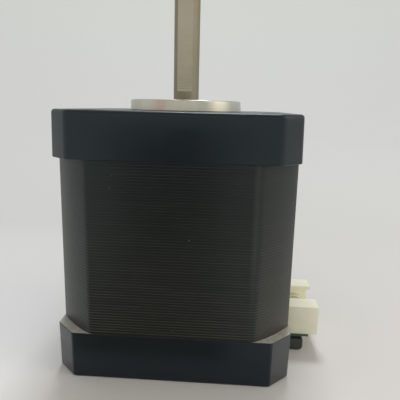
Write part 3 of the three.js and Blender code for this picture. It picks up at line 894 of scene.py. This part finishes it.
def connector():
    wall, pin_hole = 0.8, 0.38
    back = SOCKET_OUTSIDE + 0.75
    across = across_socket(0)
    made = as_object(
        box((SOCKET_OUTSIDE, SOCKET_MOUTH), across, (SOCKET_LOW, SOCKET_HIGH))
    )
    tail = box((SOCKET_BACK, SOCKET_OUTSIDE + 0.5), across, (SOCKET_LOW, 8.3))
    combine(made, "UNION", [tail])
    heights = (SOCKET_LOW + wall, SOCKET_HIGH - wall)
    cavity = box((back, SOCKET_MOUTH + 1), across_socket(-wall), heights)
    across_notch = (SOCKET_MIDDLE - 3.3, SOCKET_MIDDLE + 3.3)
    notch = box((back, SOCKET_MOUTH + 1), across_notch, (7, SOCKET_HIGH + 1))
    combine(made, "DIFFERENCE", [cavity, notch])
    heights = (PIN_HEIGHT - pin_hole, PIN_HEIGHT + pin_hole)
    for index in range(PINS):
        y = pin_place(index)
        hole = box((SOCKET_BACK - 1, back + 1), (y - pin_hole, y + pin_hole), heights)
        combine(made, "DIFFERENCE", [hole])
    dissolve(made)
    bevel(made, 0.22, 4)
    replaced = ["connector_housing"]
    finish(made, "socket_shell", [IVORY], "stator", replaced, sharp=40)


def contact_pins():
    half, leg, foot, tip = 0.3, 18.6, 2.5, 26.0
    bend = 0.9  # inner radius of the bend

    def section(x, z, along, size):
        """A square ring across the wire, which runs along `along` in the XZ plane."""
        side = Vector((-along.z, 0, along.x))
        corners = ((-1, -1), (1, -1), (1, 1), (-1, 1))
        return [Vector((x, b * size, z)) + side * a * size for a, b in corners]

    for index in range(PINS):
        up = Vector((0, 0, 1))
        rings = [section(leg, foot, up, 0.16), section(leg, foot + 0.35, up, half)]
        for k in range(9):
            angle = k / 8 * math.pi / 2
            x = leg + bend * (1 - math.cos(angle))
            z = PIN_HEIGHT - bend + bend * math.sin(angle)
            along = Vector((math.sin(angle), 0, math.cos(angle)))
            rings.append(section(x, z, along, half))
        ahead = Vector((1, 0, 0))
        rings.append(section(tip - 0.8, PIN_HEIGHT, ahead, half))
        rings.append(section(tip, PIN_HEIGHT, ahead, 0.13))
        made = as_object(loft(rings))
        bevel(made, 0.05, 2, 40)
        made.data.transform(Matrix.Translation((0, pin_place(index), 0)))
        name = f"contact_pin_{index + 1}"
        finish(made, f"{name}_tinned", [TIN], "stator", [name], sharp=40)


def board_pad():
    pad = box((19.2, SHELF_REACH - 0.3), across_socket(-0.25), (2.45, 2.95))
    made = as_object(pad)
    bevel(made, 0.1, 3)
    finish(made, "insulating_pad", [BLACK_PAD], "stator", ["board_pad"])


# ---- CAD nodes that stay ----


def dress(material, *names):
    for name in names:
        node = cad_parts[name]
        node.data.materials.clear()
        node.data.materials.append(material)


def dress_cad():
    bearings = ("front_bearing", "rear_bearing")
    dress(FORMER, "front_insulator", "rear_insulator")
    dress(COPPER, *[f"coil_{k}" for k in range(1, 9)])
    dress(GREEN_BOARD, "terminal_board")
    dress(SPRING, "wave_washer", "front_spacer")
    dress(ROTOR, "rotor_cup_front", "rotor_cup_rear")
    dress(MAGNET, "rotor_magnet")
    dress(CAGE, *[f"{bearing}_cage" for bearing in bearings])
    dress(BALL, *[f"{bearing}_ball_{k}" for bearing in bearings for k in range(1, 8)])


# ---- Stage ----

CAMERA_PLACE = Vector((8.88, -91.05, 47.9)) * MM
CAMERA_PAN = math.radians(-3.53)  # towards +X
CAMERA_TILT = math.radians(11.89)  # below level
CAMERA_ROLL = math.radians(1.34)
FOCAL_LENGTH = 39.98  # on a 36 mm sensor


def camera():
    data = bpy.data.cameras.new("camera")
    data.sensor_width = 36
    data.lens = FOCAL_LENGTH
    data.clip_start = 0.005
    made = add("camera", data)
    made.matrix_world = (
        Matrix.Translation(CAMERA_PLACE)
        @ Matrix.Rotation(-CAMERA_PAN, 4, "Z")
        @ Matrix.Rotation(math.pi / 2 - CAMERA_TILT, 4, "X")
        @ Matrix.Rotation(CAMERA_ROLL, 4, "Z")
    )
    bpy.context.scene.camera = made


def sweep():
    """A round pale floor that curves up into a low wall all round the motor."""
    level, bend, sides, steps = 0.5, 0.6, 128, 24  # metres, metres, counts
    profile = [(0.02, 0.0), (level, 0.0)]
    for k in range(1, steps + 1):
        angle = k / steps * math.pi / 2
        profile.append((level + bend * math.sin(angle), bend * (1 - math.cos(angle))))
    bm = bmesh.new()
    rows = [[bm.verts.new(point) for point in circle(r, z, sides)] for r, z in profile]
    bm.faces.new(rows[0])
    for near, far in zip(rows, rows[1:]):
        for i in range(sides):
            j = (i + 1) % sides
            bm.faces.new((near[i], far[i], far[j], near[j]))
    for face in bm.faces:
        face.smooth = True
    made = add_mesh("sweep", bm)
    s = Surface("pale_floor", Specular_IOR_Level=0.2)
    floor = s.mix(s.noise(60, 3), (0.69, 0.69, 0.675), (0.71, 0.71, 0.695))
    x, y, z = s.split()
    # In front of the motor the floor is lighter than further back: warm in the middle and
    # on the right, where the shadow falls, and paler on the left. This is painted light
    # that evens out the floor's shade.
    near = s.mix(s.spread(x, -0.01, -0.035), (0.8, 0.78, 0.755), (0.94, 0.94, 0.93))
    floor = s.mix(s.spread(y, -0.03, 0.08), near, floor)
    s.colour(s.mix(s.spread(z, 0.0, 0.25), floor, (0.72, 0.725, 0.695)))
    s.roughness(s.noise(3, 3), 0.6, 0.7)
    made.data.materials.append(s.material)


def softbox(name, spot, aim, size, power, colour=(1, 1, 1)):
    data = bpy.data.lights.new(name, "AREA")
    data.shape = "RECTANGLE"
    data.size, data.size_y = size
    data.energy = power
    data.color = colour
    made = add(name, data)
    made.location = spot
    toward = Vector(aim) - Vector(spot)
    made.rotation_euler = toward.to_track_quat("-Z", "Y").to_euler()


def lights():
    warm, cool = (1, 0.86, 0.72), (0.97, 1, 1.03)
    softbox("top_light", (0, 0.65, 1.3), (0, 0, 0.02), (0.4, 0.3), 7.8, cool)
    softbox("left_light", (-0.5, -0.1, 0.3), (0, 0, 0.03), (0.4, 0.4), 0.12, warm)
    softbox("right_light", (0.5, -0.1, 0.3), (0, 0, 0.03), (0.4, 0.4), 0.8, warm)
    softbox("front_light", (0, -0.7, 0.25), (0, 0, 0.05), (0.9, 0.2), 0.22, warm)
    softbox("backdrop_light", (0, 0.3, 0.8), (0, 1.1, 0.3), (1.5, 0.5), 0.2)
    world = bpy.data.worlds.new("studio")
    bpy.context.scene.world = world
    world.use_nodes = True
    nodes, links = world.node_tree.nodes, world.node_tree.links
    direction = nodes.new("ShaderNodeTexCoord").outputs["Generated"]
    split = nodes.new("ShaderNodeSeparateXYZ")
    links.new(direction, split.inputs[0])
    height = nodes.new("ShaderNodeMapRange")
    links.new(split.outputs[2], height.inputs["Value"])
    height.inputs["To Min"].default_value = 0.41
    height.inputs["To Max"].default_value = 0.44
    links.new(height.outputs[0], nodes["Background"].inputs["Strength"])
    nodes["Background"].inputs["Color"].default_value = (1, 1, 1, 1)


def flag():
    """A black card that shows only in reflections and stands for the photographer."""
    profile = [(-0.028, 0.0003), (-0.1, 0.0003), (-0.1, 0.046)]
    bm = bmesh.new()
    rows = [[bm.verts.new((x, y, z)) for x in (-0.033, 0.01)] for y, z in profile]
    for near, far in zip(rows, rows[1:]):
        bm.faces.new((near[0], near[1], far[1], far[0]))
    made = add_mesh("flag", bm)
    s = Surface("black_card", Specular_IOR_Level=0.0)
    black = s.mix(s.noise(20, 2), (0.01, 0.01, 0.01), (0.02, 0.02, 0.02))
    # The part of the card on the floor and its lowest 12 mm are a warm grey: a painted
    # reflection of the shaded floor in front of the motor.
    s.colour(s.mix(s.spread(s.split()[2], 0.0, 0.012), (0.36, 0.32, 0.27), black))
    made.data.materials.append(s.material)
    made.visible_camera = False
    made.visible_diffuse = False
    made.visible_shadow = False


bpy.context.scene.view_settings.view_transform = "Standard"
camera()
sweep()
lights()
flag()
front_bell()
pilot_boss()
rear_bell()
stator_core()
screws()
shaft()
bearing_faces("front_bearing", FRONT_BEARING)
bearing_faces("rear_bearing", REAR_BEARING)
connector()
contact_pins()
board_pad()
dress_cad()
